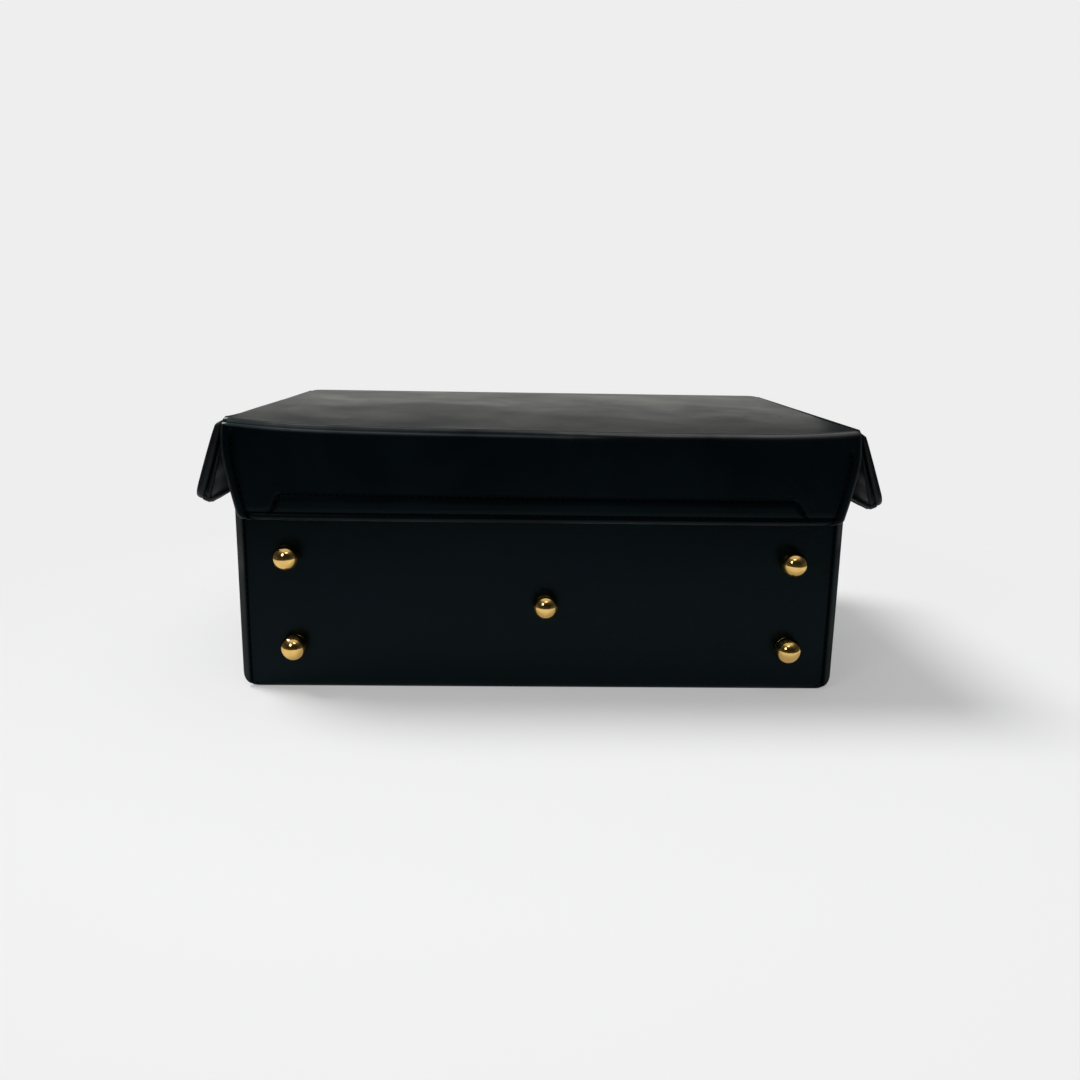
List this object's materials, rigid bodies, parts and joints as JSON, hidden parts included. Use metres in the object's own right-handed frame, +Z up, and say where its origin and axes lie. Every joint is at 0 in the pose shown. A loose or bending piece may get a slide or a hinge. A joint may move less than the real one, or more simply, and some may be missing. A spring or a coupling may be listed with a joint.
{
  "type": "lidded leather box case",
  "caption": "Stiff rectangular black leather box case with a hinged lid, a turned-down front flap, splayed side wings, ball feet on its foot panel and a rolled handle on the wall opposite.",
  "frame": {"origin": "centre of the underside of the whole object's bounding box", "axes": "+X to the right seen from the foot panel, +Y from the foot panel to the handle, +Z up from the surface that the case lies on to the lid"},
  "size_m": [0.3356, 0.229, 0.136],
  "materials": {
    "calf_leather": "smooth polished black calf",
    "side_leather": "smooth black calf, slightly duller",
    "board": "grey-brown millboard",
    "lining": "dark brushed lining",
    "gold_metal": "polished gold plate",
    "steel": "plain steel"
  },
  "bodies": {
    "case": {"back_board": "board", "back_lining": "lining", "back_panel": "calf_leather", "body_band": "side_leather", "floor_board": "board", "floor_lining": "lining", "foot_1": "gold_metal", "foot_2": "gold_metal", "foot_3": "gold_metal", "foot_4": "gold_metal", "foot_5": "gold_metal", "foot_washer_1": "steel", "foot_washer_2": "steel", "foot_washer_3": "steel", "foot_washer_4": "steel", "foot_washer_5": "steel", "front_board": "board", "front_lining": "lining", "front_panel": "calf_leather", "handle_lug_left": "gold_metal", "handle_lug_right": "gold_metal", "handle_pin_left": "gold_metal", "handle_pin_right": "gold_metal", "handle_rivet_1": "gold_metal", "handle_rivet_2": "gold_metal", "handle_rivet_3": "gold_metal", "handle_rivet_4": "gold_metal", "hinge_lower_leaf": "calf_leather", "keeper_left": "steel", "keeper_right": "steel", "left_board": "board", "left_lining": "lining", "right_board": "board", "right_lining": "lining", "rim_back": "calf_leather", "rim_front": "calf_leather", "rim_left": "calf_leather", "rim_right": "calf_leather"},
    "lid": {"lid_leather": "calf_leather", "lid_board": "board", "lid_lining": "lining", "hinge_upper_leaf": "calf_leather"},
    "front_flap": {"flap_leather": "calf_leather", "flap_board": "board", "flap_band": "board", "flap_lining": "lining", "magnet_left": "steel", "magnet_right": "steel"},
    "left_wing": {"wing_left_board": "board", "wing_left_inner": "side_leather", "wing_left_leather": "side_leather", "wing_left_tab": "side_leather"},
    "right_wing": {"wing_right_board": "board", "wing_right_inner": "side_leather", "wing_right_leather": "side_leather", "wing_right_tab": "side_leather"},
    "handle": {"handle_eye_left": "gold_metal", "handle_eye_right": "gold_metal", "handle_grip": "calf_leather"}
  },
  "joints": [
    {"name": "lid_hinge", "type": "hinge", "parent": "case", "child": "lid", "pos_m": [0, 0.10275, 0.1303], "axis": [-1, 0, 0], "range_deg": [0, 110]},
    {"name": "flap_crease", "type": "hinge", "parent": "lid", "child": "front_flap", "pos_m": [0, -0.10905, 0.1343], "axis": [-1, 0, 0], "range_deg": [0, 95]},
    {"name": "left_wing_crease", "type": "hinge", "parent": "lid", "child": "left_wing", "pos_m": [-0.1535, -0.00105, 0.1343], "axis": [0, 1, 0], "range_deg": [-8, 65], "stiffness_Nm_per_rad": 0.4},
    {"name": "right_wing_crease", "type": "hinge", "parent": "lid", "child": "right_wing", "pos_m": [0.1535, -0.00105, 0.1343], "axis": [0, -1, 0], "range_deg": [-8, 65], "stiffness_Nm_per_rad": 0.4},
    {"name": "handle_swing", "type": "hinge", "parent": "case", "child": "handle", "pos_m": [0, 0.10895, 0.098], "axis": [1, 0, 0], "range_deg": [0, 150]}
  ]
}
